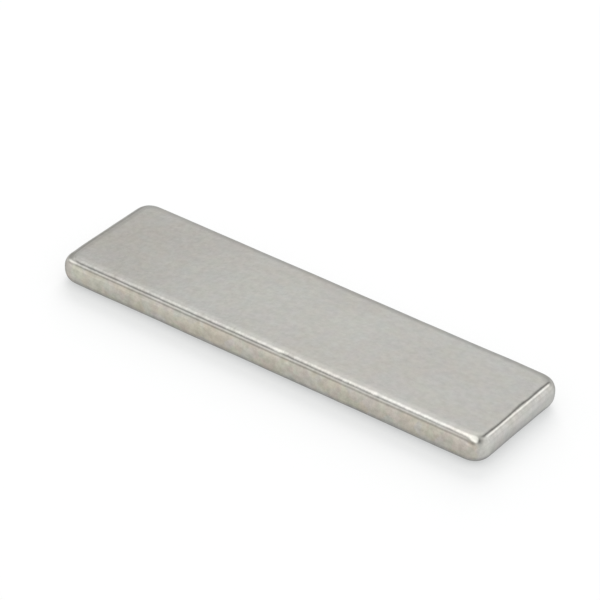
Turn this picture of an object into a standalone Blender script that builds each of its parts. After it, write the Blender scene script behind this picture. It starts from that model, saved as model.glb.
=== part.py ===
"""Flat block magnet: a nickel-plated sintered bar with tumbled rims and rounded corners.

Units are metres. The length runs along X, the width along Y and the thickness along Z.
The origin is the centre of the underside, and the magnetic axis is Z, so the two large
faces are the poles.

The form is a loft of rounded rectangles. Every level of it is the same plan outline drawn
inwards by what the rim has lost at that height, so the rim keeps one section all round the
block and turns over the corners without a seam.
"""

import math

import bmesh
import bpy

# Overall size
LENGTH = 0.050
WIDTH = 0.015
THICKNESS = 0.003

# Tumbling wear: how far each rounding reaches from the sharp edge that it replaces
CORNER_REACH = 0.00225
RIM_REACH = 0.00145

# Exponent of the roundings: 2 is a circular arc, and more is flatter towards the faces
ROUNDING_EXPONENT = 2.5

# A rim never takes more than this share of the corner or of half the thickness
LARGEST_RIM_SHARE = 0.97

# Facets in a quarter turn
CORNER_STEPS = 12
RIM_STEPS = 10


def quarter_round(steps):
    """Points of a quarter superellipse of reach 1, evenly spaced by the turn of their normal.

    The first point is (0, 1) and the last is (1, 0).
    """
    conjugate = ROUNDING_EXPONENT / (ROUNDING_EXPONENT - 1)
    points = []
    for step in range(steps + 1):
        turn = 0.5 * math.pi * step / steps
        across = max(math.sin(turn), 0.0)
        along = max(math.cos(turn), 0.0)
        size = (across ** conjugate + along ** conjugate) ** (1 / ROUNDING_EXPONENT)
        power = conjugate / ROUNDING_EXPONENT
        points.append((across ** power / size, along ** power / size))
    return points


def plan_outline(inset):
    """Corner points of the plan, anticlockwise from above, drawn inwards by inset."""
    reach = CORNER_REACH - inset
    centre_x = LENGTH / 2 - CORNER_REACH
    centre_y = WIDTH / 2 - CORNER_REACH
    corner = quarter_round(CORNER_STEPS)
    outline = []
    for side_x, side_y in ((1, 1), (-1, 1), (-1, -1), (1, -1)):
        # Each corner starts on the side that an anticlockwise walk reaches first
        walk = reversed(corner) if side_x == side_y else corner
        for x, y in walk:
            outline.append((side_x * (centre_x + reach * x), side_y * (centre_y + reach * y)))
    return outline


def levels():
    """Pairs of inset and height, from the underside to the top face."""
    largest_reach = LARGEST_RIM_SHARE * min(CORNER_REACH, THICKNESS / 2)
    reach = min(RIM_REACH, largest_reach)
    lower_rim = [(reach * (1 - out), reach * (1 - up)) for out, up in quarter_round(RIM_STEPS)]
    upper_rim = [(inset, THICKNESS - height) for inset, height in reversed(lower_rim)]
    return lower_rim + upper_rim


def block_mesh(name):
    """Closed mesh of the block: one ring of points for each level, and a cap at each end."""
    mesh_builder = bmesh.new()
    rings = []
    for inset, height in levels():
        rings.append([mesh_builder.verts.new((x, y, height)) for x, y in plan_outline(inset)])
    for below, above in zip(rings, rings[1:]):
        count = len(below)
        for i in range(count):
            j = (i + 1) % count
            mesh_builder.faces.new((below[i], below[j], above[j], above[i]))
    mesh_builder.faces.new(list(reversed(rings[0])))
    mesh_builder.faces.new(rings[-1])
    mesh = bpy.data.meshes.new(name)
    mesh_builder.to_mesh(mesh)
    mesh_builder.free()
    mesh.shade_smooth()
    return mesh


def nickel_plate():
    """Satin nickel plating, slightly warm."""
    material = bpy.data.materials.new("nickel_plate")
    material.use_nodes = True
    shader = material.node_tree.nodes["Principled BSDF"]
    shader.inputs["Base Color"].default_value = (0.66, 0.64, 0.59, 1.0)
    shader.inputs["Metallic"].default_value = 1.0
    shader.inputs["Roughness"].default_value = 0.3
    return material


def main():
    for old in list(bpy.data.objects):
        bpy.data.objects.remove(old, do_unlink=True)
    block = bpy.data.objects.new("block_magnet", block_mesh("block_magnet"))
    block.data.materials.append(nickel_plate())
    bpy.context.scene.collection.objects.link(block)


main()
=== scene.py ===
"""Looks of a flat nickel-plated block magnet lying on a pale table under soft studio light.

Everything is in metres, in the frame of the CAD model. The front is the long side at -Y, the right is the
end at +X, and the two large faces are the poles.
"""

import math

import bpy
import numpy as np
from mathutils import Matrix, Vector, noise


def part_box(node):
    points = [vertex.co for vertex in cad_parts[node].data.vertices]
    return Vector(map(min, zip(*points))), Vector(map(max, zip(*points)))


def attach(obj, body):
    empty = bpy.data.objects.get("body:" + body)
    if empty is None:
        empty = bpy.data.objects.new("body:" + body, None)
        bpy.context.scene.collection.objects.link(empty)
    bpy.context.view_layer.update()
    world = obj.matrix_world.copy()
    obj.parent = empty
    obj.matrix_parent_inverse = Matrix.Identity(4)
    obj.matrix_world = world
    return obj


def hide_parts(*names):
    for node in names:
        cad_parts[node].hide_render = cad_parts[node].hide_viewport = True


MM = 0.001
WHITE = (1.0, 1.0, 1.0)

# Roundings of the block, as in its solid
CORNER_REACH = 2.25 * MM
RIM_REACH = 1.45 * MM
ROUNDING_EXPONENT = 2.5

# Mesh density: steps in a quarter turn, steps up the straight band between the rims, and the length of a
# step along the straight sides
CORNER_STEPS = 24
RIM_STEPS = 28
BAND_STEPS = 2
STRAIGHT_STEP = 0.25 * MM

# Where wear acts, by how far the surface leans from a pole face: the degrees at which the rim and the side
# begin, and the degrees that each takes to be full
RIM_LEAN = 3
SIDE_LEAN = 55
LEAN_REACH = 25

# Waves left by tumbling: length and depth of each, where their pattern starts, and the share of them that
# the sides lack
WAVES = ((5.0 * MM, 0.030 * MM), (2.0 * MM, 0.016 * MM), (0.9 * MM, 0.008 * MM))
WAVE_START = (7.3, 1.9, 4.1)
SIDE_EVENNESS = 0.8

# One knock on the front rim, and how fast it deepens as the rim turns to the front and to the top
KNOCK_X = 2.0 * MM
KNOCK_REACH = 0.75 * MM
KNOCK_DEPTH = 0.030 * MM
KNOCK_FRONT_SLOPE = 1.6
KNOCK_TOP_SLOPE = 2.5

# Wear of the foot. As the surface turns down it grows along one line and fades along another, and each line
# has a slope and a level.
FOOT_WEAR = 0.03 * MM
FOOT_GROWTH = (4.0, -2.4)
FOOT_FADING = (-4.3, 4.0)

# Spots where the block is worn more than its solid, or less where the depth is negative, all in mm
UNEVENNESS = (
    # Front left corner: cut at the top and at the foot, and full between them
    dict(at=(-24.6, -5.4, 2.6), reach=1.0, depth=0.045),
    dict(at=(-24.3, -6.9, 0.7), reach=1.1, depth=0.045),
    dict(at=(-24.8, -6.3, 1.7), reach=0.8, depth=-0.055),
    # Back right corner and the foot before it, both little worn
    dict(at=(24.8, 6.2, 1.0), reach=1.7, depth=-0.080),
    dict(at=(24.8, 2.5, 0.4), reach=2.5, depth=-0.030),
    # Front foot, little worn near both ends
    dict(at=(-21.0, -7.1, 0.3), reach=2.5, depth=-0.030),
    dict(at=(18.0, -7.1, 0.3), reach=6.0, depth=-0.020),
    # Right rim: a swell in front of its middle, and two small dips behind it
    dict(at=(24.1, -2.4, 2.9), reach=1.6, depth=-0.022),
    dict(at=(24.1, 0.7, 2.9), reach=0.9, depth=0.020),
    dict(at=(24.1, 4.0, 2.9), reach=0.8, depth=0.016),
    # Back rim, little worn in the middle and near the right end
    dict(at=(-1.0, 7.1, 2.7), reach=7.0, depth=-0.025),
    dict(at=(19.5, 7.1, 2.7), reach=3.0, depth=-0.035),
)

# Zones of the plate, by the part of the surface's normal that runs along an axis: where each begins and
# where it is full
LONG_SIDE_FACING = (0.60, 0.86)
END_FACING = (0.80, 1.0)
ABOVE_FOOT_FACING = (-0.62, -0.30)
OFF_POLE_FACING = (0.995, 0.95)
RIM_FACING = (0.15, 0.40)
# The foot zone is where the painted shade darkens the colour
FOOT_FACING = (-0.10, -0.35)
OFF_UNDERSIDE_FACING = (-0.97, -0.85)

# Colours of the nickel. A painted shade multiplies them on the foot, standing in for the shadowed table
# that the lower rim mirrors, and the edge tint is what they keep at a grazing angle.
POLE_COLOUR = (0.503, 0.493, 0.464)
LONG_SIDE_COLOUR = (0.496, 0.472, 0.421)
END_COLOUR = (0.590, 0.580, 0.553)
FOOT_PAINTED_SHADE = (0.87, 0.88, 0.91)
EDGE_TINT = (0.58, 0.58, 0.58)

# Faint tints, as clouds on the poles and as smaller angular blotches on the long sides
PINK, GREEN = (1.028, 0.987, 0.996), (0.979, 1.010, 0.985)
BEIGE, COOL = (1.014, 1.002, 0.960), (0.986, 0.998, 1.035)
TINTS = ((PINK, GREEN, 1.3 * MM), (BEIGE, COOL, 1.9 * MM))
TINT_DETAIL = 3.0
BLOTCH_SHARE = 0.6
BLOTCH_SOFTNESS = 0.35
POLE_TINTING = 0.45
SIDE_TINTING = 1.25

# Larger clouds, of which the darker are the warmer, and the tones of the left end and of the right end,
# which are full at the reach from the middle
CLOUDS = ((1.019, 1.031, 1.036), (0.981, 0.969, 0.964))
CLOUD_NOISE = dict(feature=8.0 * MM, detail=2.0)
LEFT_TONE = (0.993, 0.994, 0.986)
RIGHT_TONE = (0.983, 0.995, 0.999)
TONE_REACH = 25.0 * MM

# Fine grain in the brightness, and how strong it is
GRAIN_NOISE = dict(feature=0.75 * MM, detail=4.0, low=-1.0, high=1.0, roughness=0.65)
POLE_GRAIN = 0.050
RIM_GRAIN = 0.11
END_GRAIN = 0.05

# Gloss of the plate, and the smears and pits that break it
POLE_ROUGHNESS = 0.13
RIM_ROUGHNESS = 0.05
SMEAR_NOISE = dict(feature=1.1 * MM, detail=3.0, low=0.8, high=1.2)
PIT_NOISE = dict(feature=0.45 * MM, detail=1.0, low=-0.5, high=0.5)
PIT_DEPTH = 0.002 * MM

# The part of its range that Blender's noise mostly keeps to
NOISE_RANGE = (0.3, 0.7)

# What the metal mirrors: a white tent, a little brighter overhead, with lamps and dark flags as soft
# patches. Each stands at an azimuth from +X towards +Y and an elevation, turned in its own plane, with its
# half width and half height as seen from the block at a distance of 1. The amount is added to the tent,
# where 1 is white. The depth keeps a patch from showing again on the far side of the tent.
SKY_LEVEL = 1.15
SKY_RISE = 0.34
PATCH_DEPTH = 0.5
PATCHES = (
    # Softbox overhead: the bright line along the front rim
    dict(at=(-83, 77), turn=-57, size=(0.70, 0.35), hardness=2.7, amount=1.17),
    # Softbox on the left: the brighter line below it, and the glint on the left corner
    dict(at=(-159, 33), turn=43, size=(0.51, 0.18), hardness=1.3, amount=1.10),
    # Reflector behind on the right, in a dark frame: the bright and the dark line of the right end
    dict(at=(66, 37), turn=32, size=(0.17, 0.28), hardness=1.0, amount=1.80),
    dict(at=(71, 39), turn=14, size=(0.29, 0.41), hardness=1.8, amount=-1.20),
    # Dark room over the camera, deepest on its right: the dark corner and the two dark lines in front
    dict(at=(-21, 63), turn=-15, size=(0.49, 0.95), hardness=0.8, amount=-1.20),
    dict(at=(-106, 44), turn=-29, size=(1.00, 0.39), hardness=2.6, amount=-0.60),
    # Seam of the tent on the left of the camera: the darker of those lines
    dict(at=(-124, 29), turn=24, size=(0.085, 0.90), hardness=4.0, amount=-0.14),
    # Fold of the tent behind on the left
    dict(at=(154, 50), turn=36, size=(0.60, 0.16), hardness=4.0, amount=-0.30),
    # Unlit wall on the left, and the strip behind the table: the dark lines of the left end and the back
    dict(at=(173, 22), turn=9, size=(1.00, 0.40), hardness=2.3, amount=-0.59),
    dict(at=(105, 20), turn=-14, size=(0.40, 0.33), hardness=1.3, amount=-0.55),
)

# Light on the table: the tent's even level, and the lamp behind that casts the soft shadow
WORLD_LIGHT = 0.75
KEY_LAMP = dict(azimuth=122, elevation=32, distance=4.0, size=2.8, level=4.1, colour=(1.0, 0.965, 0.96))

# Table: half its side, how far it lies under the block, its matte colour, and the glow added to that, whose
# tint offsets the warm lamp
FLOOR_REACH = 2.0
FLOOR_DROP = 0.01 * MM
FLOOR_COLOUR = (0.48, 0.48, 0.48)
FLOOR_LIFT = 0.515
FLOOR_TINT = (0.985, 1.0, 1.0)

# Painted contact shadow where the block touches the table, made by darkening the glow with ambient
# occlusion: its reach, and the share of the glow left in it, as the camera sees it and as the block
# mirrors it. The mirrored table also has some plain white in it.
CONTACT_REACH = 1.0 * MM
CONTACT_SHARE = 0.88
MIRRORED_CONTACT_SHARE = 0.8
MIRRORED_EVENNESS = 0.2

# Camera: where it stands round the block in degrees, how far off, how it is held, and its lens in mm
CAMERA_AZIMUTH = 30.99
CAMERA_ELEVATION = 32.71
CAMERA_ROLL = -5.68
CAMERA_DISTANCE = 344.7 * MM
CAMERA_AIM_RIGHT = -0.543 * MM
CAMERA_AIM_DOWN = -2.749 * MM
FOCAL_LENGTH = 209.9
SENSOR_WIDTH = 36.0
NEAREST_SEEN = 10 * MM
FARTHEST_SEEN = 10.0


def quarter_round(steps):
    """Points of a quarter superellipse of reach 1, from (0, 1) to (1, 0), evenly spaced by their normal."""
    conjugate = ROUNDING_EXPONENT / (ROUNDING_EXPONENT - 1)
    turn = np.linspace(0, math.pi / 2, steps + 1)
    across = np.clip(np.sin(turn), 0, 1)
    along = np.clip(np.cos(turn), 0, 1)
    size = (across ** conjugate + along ** conjugate) ** (1 / ROUNDING_EXPONENT)
    power = conjugate / ROUNDING_EXPONENT
    return np.stack([across ** power / size, along ** power / size], 1)


def smooth_step(value, start, reach):
    """0 up to the start, and 1 beyond the reach from there."""
    share = np.clip((value - start) / reach, 0, 1)
    return share * share * (3 - 2 * share)


def line(value, slope, level=0.0):
    """A straight line, held between 0 and 1."""
    return np.clip(value * slope + level, 0, 1)


def waves(place, rim, side):
    """Depth of the tumbling waves at each point of the rims and sides."""
    depth = np.zeros(len(place))
    for i in np.nonzero(rim > 0)[0]:
        point = Vector(place[i])
        for length, most in WAVES:
            # The sides are taken back by half a wave, so that no crest leaves the block's box
            depth[i] += 0.5 * most * (side[i] + noise.noise(point / length + Vector(WAVE_START)))
    return depth * (rim * (1 - SIDE_EVENNESS * side))


def knock(place, normal):
    """Depth of the one knock on the front rim."""
    front_rim = line(-normal[:, 1], KNOCK_FRONT_SLOPE) * line(normal[:, 2], KNOCK_TOP_SLOPE)
    along = (place[:, 0] - KNOCK_X) / KNOCK_REACH
    return KNOCK_DEPTH * front_rim * np.exp(-along ** 4)


def spot(place, rim, at, reach, depth):
    """Depth of one spot of unevenness. Its place, reach and depth are in mm."""
    distance = np.linalg.norm(place - MM * np.array(at), axis=1) / (MM * reach)
    return MM * depth * rim * np.exp(-distance ** 2)


def wear(mesh, half_length, half_width, thickness):
    """Wears the rims and the sides, and keeps them in the block's box. The pole faces stay flat."""
    place = np.empty(3 * len(mesh.vertices), np.float32)
    normal = np.empty(3 * len(mesh.vertices), np.float32)
    mesh.vertices.foreach_get("co", place)
    mesh.vertex_normals.foreach_get("vector", normal)
    place, normal = place.reshape(-1, 3), normal.reshape(-1, 3)
    lean = np.degrees(np.arccos(np.clip(np.abs(normal[:, 2]), 0, 1)))
    rim = smooth_step(lean, RIM_LEAN, LEAN_REACH)
    side = smooth_step(lean, SIDE_LEAN, LEAN_REACH)
    down = -normal[:, 2]

    depth = waves(place, rim, side)
    depth += knock(place, normal)
    depth += FOOT_WEAR * line(down, *FOOT_GROWTH) * line(down, *FOOT_FADING)
    for entry in UNEVENNESS:
        depth += spot(place, rim, **entry)

    place = place - normal * depth[:, None]
    half = np.array([half_length, half_width])
    place[:, :2] = np.clip(place[:, :2], -half, half)
    place[:, 2] = np.clip(place[:, 2], 0, thickness)
    mesh.vertices.foreach_set("co", place.astype(np.float32).ravel())
    mesh.update()


class Block:
    """The block as one fine closed mesh: rings of points up the side, and a grid on each large face."""

    def __init__(self, low, high):
        self.length, self.width, self.thickness = high - low
        self.straight_x = round((self.length - 2 * CORNER_REACH) / STRAIGHT_STEP)
        self.straight_y = round((self.width - 2 * CORNER_REACH) / STRAIGHT_STEP)
        self.steps_x = self.straight_x + CORNER_STEPS
        self.steps_y = self.straight_y + CORNER_STEPS
        self.points = []
        self.faces = []

    def outline(self, inset):
        """Points of the plan, anticlockwise from the middle of the corner at -X and -Y."""
        reach = CORNER_REACH - inset
        centre_x = self.length / 2 - CORNER_REACH
        centre_y = self.width / 2 - CORNER_REACH
        corner = quarter_round(CORNER_STEPS)
        outline = []
        for side_x, side_y, straight in (
            (-1, -1, self.straight_x),
            (1, -1, self.straight_y),
            (1, 1, self.straight_x),
            (-1, 1, self.straight_y),
        ):
            walk = corner[::-1] if side_x == side_y else corner
            arc = [(side_x * (centre_x + reach * x), side_y * (centre_y + reach * y)) for x, y in walk]
            outline.extend(arc)
            # The straight run that follows, without its two ends
            if side_x == side_y:
                end = (-arc[-1][0], arc[-1][1])
            else:
                end = (arc[-1][0], -arc[-1][1])
            for i in range(1, straight):
                share = i / straight
                outline.append(tuple(a + share * (b - a) for a, b in zip(arc[-1], end)))
        half = CORNER_STEPS // 2
        return np.array(outline[half:] + outline[:half])

    def add_ring(self, inset, height):
        """Adds one ring of points and returns their numbers."""
        first = len(self.points)
        ring = self.outline(inset)
        self.points.extend((x, y, height) for x, y in ring)
        return np.arange(first, first + len(ring))

    def add_band(self, lower, upper):
        """Joins two rings with quads."""
        following = np.roll(lower, -1)
        above = np.roll(upper, -1)
        self.faces.extend(zip(lower, following, above, upper))

    def add_cap(self, ring, facing_up):
        """Fills a ring with a grid of quads, blended between its four sides."""
        nx, ny = self.steps_x, self.steps_y
        flat = np.array([self.points[i] for i in ring])
        height = flat[0, 2]
        south = flat[: nx + 1, :2]
        east = flat[nx : nx + ny + 1, :2]
        north = flat[nx + ny : 2 * nx + ny + 1, :2][::-1]
        west = np.concatenate([flat[2 * nx + ny :, :2], flat[:1, :2]])[::-1]
        number = np.zeros((ny + 1, nx + 1), int)
        number[0] = ring[: nx + 1]
        number[:, nx] = ring[nx : nx + ny + 1]
        number[ny] = ring[nx + ny : 2 * nx + ny + 1][::-1]
        number[:, 0] = np.concatenate([ring[2 * nx + ny :], ring[:1]])[::-1]
        for j in range(1, ny):
            v = j / ny
            for i in range(1, nx):
                u = i / nx
                place = (1 - v) * south[i] + v * north[i] + (1 - u) * west[j] + u * east[j]
                place = place - (1 - v) * ((1 - u) * south[0] + u * south[nx])
                place = place - v * ((1 - u) * north[0] + u * north[nx])
                number[j, i] = len(self.points)
                self.points.append((place[0], place[1], height))
        for j in range(ny):
            for i in range(nx):
                quad = (number[j, i], number[j, i + 1], number[j + 1, i + 1], number[j + 1, i])
                self.faces.append(quad if facing_up else quad[::-1])

    def build(self):
        """The whole mesh, from the underside to the top, with its wear."""
        rim = RIM_REACH * (1 - quarter_round(RIM_STEPS))
        rings = [self.add_ring(inset, rise) for inset, rise in rim]
        band = self.thickness - 2 * RIM_REACH
        for i in range(1, BAND_STEPS):
            rings.append(self.add_ring(0.0, RIM_REACH + band * i / BAND_STEPS))
        rings.extend(self.add_ring(inset, self.thickness - rise) for inset, rise in rim[::-1])
        for lower, upper in zip(rings, rings[1:]):
            self.add_band(lower, upper)
        self.add_cap(rings[0], facing_up=False)
        self.add_cap(rings[-1], facing_up=True)
        mesh = bpy.data.meshes.new("block_magnet_skin")
        mesh.from_pydata(self.points, [], [[int(i) for i in face] for face in self.faces])
        mesh.update()
        wear(mesh, self.length / 2, self.width / 2, self.thickness)
        mesh.shade_smooth()
        return mesh


class Nodes:
    """Builds the node tree of a material or of the world. Every value is a number, a colour or a socket."""

    # A Mix node's factor and its two values, among its inputs, and its result among its outputs
    NUMBER_INPUTS, NUMBER_RESULT = (0, 2, 3), 0
    COLOUR_INPUTS, COLOUR_RESULT = (0, 6, 7), 2

    def __init__(self, owner):
        owner.use_nodes = True
        self.nodes = owner.node_tree.nodes
        self.links = owner.node_tree.links

    def add(self, kind):
        """Adds a shader node, named without the start that all of them share."""
        return self.nodes.new("ShaderNode" + kind)

    def put(self, socket, value):
        """Sets a socket, or links it where the value is another socket."""
        if isinstance(value, bpy.types.NodeSocket):
            self.links.new(value, socket)
        elif isinstance(value, tuple) and len(socket.default_value) == 4:
            socket.default_value = (*value, 1.0)
        else:
            socket.default_value = value

    def split(self, vector):
        """The X, Y and Z of a vector."""
        node = self.add("SeparateXYZ")
        self.put(node.inputs[0], vector)
        return node.outputs[:3]

    def math(self, operation, *values):
        """The result of a Math node."""
        node = self.add("Math")
        node.operation = operation
        for socket, value in zip(node.inputs, values):
            self.put(socket, value)
        return node.outputs[0]

    def mix(self, share, first, second):
        """A number between first and second."""
        node = self.add("Mix")
        for index, value in zip(self.NUMBER_INPUTS, (share, first, second)):
            self.put(node.inputs[index], value)
        return node.outputs[self.NUMBER_RESULT]

    def blend(self, share, first, second, mode="MIX"):
        """A colour between first and second. A share above 1 goes past the second."""
        node = self.add("Mix")
        node.data_type = "RGBA"
        node.blend_type = mode
        node.clamp_factor = False
        for index, value in zip(self.COLOUR_INPUTS, (share, first, second)):
            self.put(node.inputs[index], value)
        return node.outputs[self.COLOUR_RESULT]

    def product(self, first, second):
        """Two colours multiplied."""
        return self.blend(1.0, first, second, "MULTIPLY")

    def ramp(self, value, low, high, to_low=0.0, to_high=1.0):
        """Smooth step of a value from low to high."""
        node = self.add("MapRange")
        node.interpolation_type = "SMOOTHSTEP"
        names = ("Value", "From Min", "From Max", "To Min", "To Max")
        for name, setting in zip(names, (value, low, high, to_low, to_high)):
            self.put(node.inputs[name], setting)
        return node.outputs["Result"]

    def noise(self, place, feature, detail, low=0.0, high=1.0, roughness=0.5):
        """Soft noise from low to high, with features about as large as given."""
        node = self.add("TexNoise")
        node.inputs["Roughness"].default_value = roughness
        node.inputs["Scale"].default_value = 1.0 / feature
        node.inputs["Detail"].default_value = detail
        self.put(node.inputs["Vector"], place)
        return self.ramp(node.outputs["Fac"], *NOISE_RANGE, low, high)

    def blotches(self, place, feature):
        """Soft-edged angular patches about as large as given, each with a number of its own from 0 to 1."""
        node = self.add("TexVoronoi")
        node.feature = "SMOOTH_F1"
        node.inputs["Scale"].default_value = 1.0 / feature
        node.inputs["Smoothness"].default_value = BLOTCH_SOFTNESS
        self.put(node.inputs["Vector"], place)
        channels = self.add("SeparateColor")
        self.put(channels.inputs[0], node.outputs["Color"])
        return channels.outputs[0]

    def ray_is(self, *kinds):
        """1 for rays of the given kinds and 0 for the rest."""
        path = self.add("LightPath")
        total = path.outputs[kinds[0]]
        for kind in kinds[1:]:
            total = self.math("MAXIMUM", total, path.outputs[kind])
        return total


class Zones:
    """Zones of the plate by where the surface faces. Each is a socket that runs from 0 to 1."""

    def __init__(self, tree, normal):
        x, y, upwards = tree.split(normal)
        upright = tree.math("ABSOLUTE", upwards)
        sideways = tree.math("ABSOLUTE", y)
        endways = tree.math("ABSOLUTE", x)
        above_foot = tree.ramp(upwards, *ABOVE_FOOT_FACING)
        off_underside = tree.ramp(upwards, *OFF_UNDERSIDE_FACING)
        self.long_side = tree.math("MULTIPLY", tree.ramp(sideways, *LONG_SIDE_FACING), above_foot)
        self.end = tree.math("MULTIPLY", tree.ramp(endways, *END_FACING), above_foot)
        self.off_pole = tree.ramp(upright, *OFF_POLE_FACING)
        self.rim = tree.math("MULTIPLY", self.off_pole, tree.ramp(upright, *RIM_FACING))
        # The foot, where the colour takes a painted shade
        self.foot = tree.math("MULTIPLY", tree.ramp(upwards, *FOOT_FACING), off_underside)


def nickel_colour(tree, place, zones):
    """Colour of the plate: one for each zone and a painted shade on the foot, then tints, clouds, tone and
    grain.
    """
    colour = tree.blend(zones.long_side, POLE_COLOUR, LONG_SIDE_COLOUR)
    colour = tree.blend(zones.end, colour, END_COLOUR)
    # Painted shade: the foot is darkened as if it mirrored the table's contact shadow
    colour = tree.blend(zones.foot, colour, tree.product(colour, FOOT_PAINTED_SHADE))
    strength = tree.mix(zones.long_side, POLE_TINTING, SIDE_TINTING)
    for first, second, feature in TINTS:
        cloudy = tree.noise(place, feature, TINT_DETAIL)
        blotchy = tree.blotches(place, BLOTCH_SHARE * feature)
        tint = tree.blend(tree.mix(zones.long_side, cloudy, blotchy), first, second)
        colour = tree.product(colour, tree.blend(strength, WHITE, tint))
    colour = tree.product(colour, tree.blend(tree.noise(place, **CLOUD_NOISE), *CLOUDS))
    to_right = tree.ramp(tree.split(place)[0], -TONE_REACH, TONE_REACH)
    colour = tree.product(colour, tree.blend(to_right, LEFT_TONE, RIGHT_TONE))
    uneven = tree.mix(zones.end, tree.mix(zones.off_pole, POLE_GRAIN, RIM_GRAIN), END_GRAIN)
    shade = tree.math("MULTIPLY_ADD", tree.noise(place, **GRAIN_NOISE), uneven, 1.0)
    grey = tree.add("CombineColor")
    for socket in grey.inputs[:3]:
        tree.put(socket, shade)
    return tree.product(colour, grey.outputs[0])


def nickel_roughness(tree, place, zones):
    """Roughness of the plate: least on the rims, and smeared."""
    even = tree.mix(zones.rim, POLE_ROUGHNESS, RIM_ROUGHNESS)
    return tree.math("MULTIPLY", even, tree.noise(place, **SMEAR_NOISE))


def nickel_pits(tree, place):
    """Normal of the plate with its tiny pits."""
    bump = tree.add("Bump")
    bump.inputs["Strength"].default_value = 1.0
    bump.inputs["Distance"].default_value = PIT_DEPTH
    tree.put(bump.inputs["Height"], tree.noise(place, **PIT_NOISE))
    return bump.outputs["Normal"]


def nickel():
    """Satin nickel plate: neutral on the poles, warm and blotchy on the long sides, glossy on the rims."""
    material = bpy.data.materials.new("nickel_plate")
    tree = Nodes(material)
    coordinates = tree.add("TexCoord")
    place = coordinates.outputs["Object"]
    zones = Zones(tree, coordinates.outputs["Normal"])
    shader = tree.nodes["Principled BSDF"]
    shader.inputs["Metallic"].default_value = 1.0
    tree.put(shader.inputs["Base Color"], nickel_colour(tree, place, zones))
    tree.put(shader.inputs["Roughness"], nickel_roughness(tree, place, zones))
    tree.put(shader.inputs["Normal"], nickel_pits(tree, place))
    tree.put(shader.inputs["Specular Tint"], tree.blend(zones.off_pole, WHITE, EDGE_TINT))
    return material


def add_object(name, data):
    """Adds an object to the scene."""
    thing = bpy.data.objects.new(name, data)
    bpy.context.scene.collection.objects.link(thing)
    return thing


def from_block(azimuth, elevation, distance=1.0):
    """A point round the block. Azimuth runs from +X towards +Y, in degrees."""
    a, e = math.radians(azimuth), math.radians(elevation)
    return distance * Vector((math.cos(e) * math.cos(a), math.cos(e) * math.sin(a), math.sin(e)))


def softbox(name, azimuth, elevation, distance, size, level, colour):
    """A square area lamp whose face has the given brightness, where 1 is white. Only its light shows."""
    data = bpy.data.lights.new(name, "AREA")
    data.shape = "SQUARE"
    data.size = size
    data.energy = level * math.pi * size ** 2
    data.color = colour
    lamp = add_object(name, data)
    place = from_block(azimuth, elevation, distance)
    lamp.location = place
    lamp.rotation_mode = "QUATERNION"
    lamp.rotation_quaternion = place.to_track_quat("Z", "Y")
    lamp.visible_camera = False
    lamp.visible_glossy = False


def add_patch(tree, direction, total, at, turn, size, hardness, amount):
    """Adds one soft patch to the brightness of the surroundings and returns the new total."""
    centre = from_block(*at)
    east = Vector((0, 0, 1)).cross(centre).normalized()
    north = centre.cross(east)
    t = math.radians(turn)
    wide = math.cos(t) * east + math.sin(t) * north
    high = math.cos(t) * north - math.sin(t) * east
    mapping = tree.add("Mapping")
    mapping.vector_type = "TEXTURE"
    mapping.inputs["Location"].default_value = centre
    mapping.inputs["Rotation"].default_value = Matrix((wide, high, centre)).transposed().to_euler()
    mapping.inputs["Scale"].default_value = (*size, PATCH_DEPTH)
    tree.put(mapping.inputs["Vector"], direction)
    square = tree.add("VectorMath")
    square.operation = "DOT_PRODUCT"
    for socket in square.inputs[:2]:
        tree.put(socket, mapping.outputs[0])
    falling = tree.math("MULTIPLY", tree.math("POWER", square.outputs["Value"], hardness), -1.0)
    return tree.math("MULTIPLY_ADD", tree.math("EXPONENT", falling), amount, total)


def white_world():
    """A white tent with its lamps and flags, which only the metal mirrors. The camera sees plain white."""
    world = bpy.data.worlds.new("studio")
    bpy.context.scene.world = world
    tree = Nodes(world)
    # Light sampling would mix the even level into the mirrored one
    world.cycles.sampling_method = "NONE"
    tree.nodes.clear()
    direction = tree.add("TexCoord").outputs["Generated"]
    total = tree.math("MULTIPLY_ADD", tree.split(direction)[2], SKY_RISE, SKY_LEVEL)
    for patch in PATCHES:
        total = add_patch(tree, direction, total, **patch)
    mirrored = tree.mix(tree.ray_is("Is Glossy Ray"), WORLD_LIGHT, total)
    seen = tree.ray_is("Is Camera Ray", "Is Transmission Ray")
    background = tree.add("Background")
    tree.put(background.inputs["Color"], WHITE)
    tree.put(background.inputs["Strength"], tree.mix(seen, mirrored, 1.0))
    tree.put(tree.add("OutputWorld").inputs["Surface"], background.outputs[0])


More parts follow.
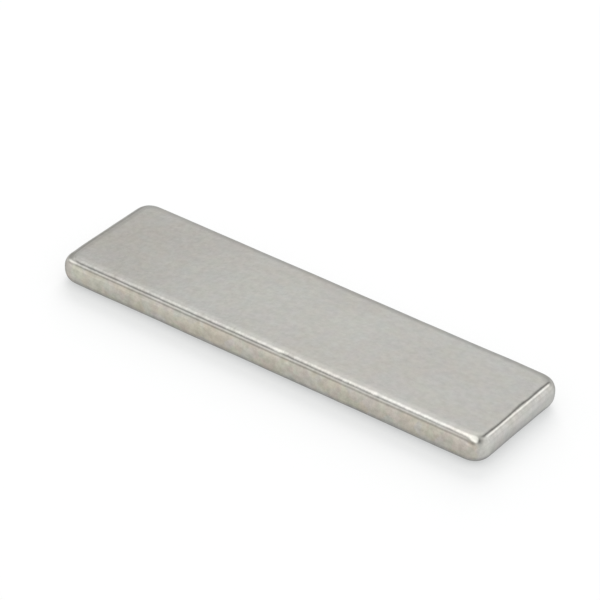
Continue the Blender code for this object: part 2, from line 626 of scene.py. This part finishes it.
def pale_matte():
    """The table's matte finish. Its glow whitens the lit table, keeps the shadow and paints a contact
    shadow.
    """
    material = bpy.data.materials.new("floor")
    tree = Nodes(material)
    tree.nodes.clear()
    diffuse = tree.add("BsdfDiffuse")
    tree.put(diffuse.inputs["Color"], FLOOR_COLOUR)
    # Painted contact shadow: ambient occlusion darkens the glow near the block
    contact = tree.add("AmbientOcclusion")
    contact.inputs["Distance"].default_value = CONTACT_REACH
    share = tree.mix(tree.ray_is("Is Camera Ray"), MIRRORED_CONTACT_SHARE, CONTACT_SHARE)
    shade = tree.mix(contact.outputs["AO"], share, 1.0)
    level = tree.math("MULTIPLY", shade, FLOOR_LIFT)
    seen = tree.ray_is("Is Camera Ray", "Is Glossy Ray", "Is Transmission Ray")
    lift = tree.add("Emission")
    tree.put(lift.inputs["Color"], FLOOR_TINT)
    tree.put(lift.inputs["Strength"], tree.math("MULTIPLY", seen, level))
    both = tree.add("AddShader")
    tree.put(both.inputs[0], diffuse.outputs[0])
    tree.put(both.inputs[1], lift.outputs[0])
    # The block mirrors a table that is more even than the one beside it
    white = tree.add("Emission")
    tree.put(white.inputs["Strength"], shade)
    mirrored = tree.add("MixShader")
    tree.put(mirrored.inputs[0], tree.math("MULTIPLY", tree.ray_is("Is Glossy Ray"), MIRRORED_EVENNESS))
    tree.put(mirrored.inputs[1], both.outputs[0])
    tree.put(mirrored.inputs[2], white.outputs[0])
    tree.put(tree.add("OutputMaterial").inputs["Surface"], mirrored.outputs[0])
    return material


def white_floor():
    """The pale table under the block."""
    corners = [(x * FLOOR_REACH, y * FLOOR_REACH, 0.0) for x, y in ((-1, -1), (1, -1), (1, 1), (-1, 1))]
    mesh = bpy.data.meshes.new("floor")
    mesh.from_pydata(corners, [], [(0, 1, 2, 3)])
    mesh.materials.append(pale_matte())
    floor = add_object("floor", mesh)
    floor.location.z = -FLOOR_DROP


def camera(target):
    """The photograph's camera, aimed a little beside the target, because the block isn't centred there."""
    azimuth = math.radians(CAMERA_AZIMUTH)
    elevation = math.radians(CAMERA_ELEVATION)
    roll = math.radians(CAMERA_ROLL)
    level = math.cos(elevation)
    forward = Vector((-math.sin(azimuth) * level, math.cos(azimuth) * level, -math.sin(elevation)))
    right = Vector((math.cos(azimuth), math.sin(azimuth), 0.0))
    down = forward.cross(right)
    held_right = math.cos(roll) * right + math.sin(roll) * down
    held_down = math.cos(roll) * down - math.sin(roll) * right
    data = bpy.data.cameras.new("camera")
    data.sensor_width = SENSOR_WIDTH
    data.lens = FOCAL_LENGTH
    data.clip_start = NEAREST_SEEN
    data.clip_end = FARTHEST_SEEN
    seer = add_object("camera", data)
    turn = Matrix((held_right, -held_down, -forward)).transposed()
    aim = target + CAMERA_AIM_RIGHT * held_right + CAMERA_AIM_DOWN * held_down
    seer.matrix_world = Matrix.Translation(aim - CAMERA_DISTANCE * forward) @ turn.to_4x4()
    bpy.context.scene.camera = seer


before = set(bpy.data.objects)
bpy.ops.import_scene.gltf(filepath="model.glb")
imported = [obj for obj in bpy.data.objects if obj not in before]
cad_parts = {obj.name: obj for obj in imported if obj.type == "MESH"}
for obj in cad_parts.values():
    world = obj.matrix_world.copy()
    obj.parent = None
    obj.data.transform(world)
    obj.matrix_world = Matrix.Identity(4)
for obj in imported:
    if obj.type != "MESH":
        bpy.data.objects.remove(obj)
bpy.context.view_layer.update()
low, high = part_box("block_magnet")

block = add_object("block_magnet_skin", Block(low, high).build())
block.data.materials.append(nickel())
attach(block, "root")
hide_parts("block_magnet")

white_world()
white_floor()
softbox("key", **KEY_LAMP)
camera((low + high) / 2)

bpy.context.scene.view_settings.view_transform = "Standard"
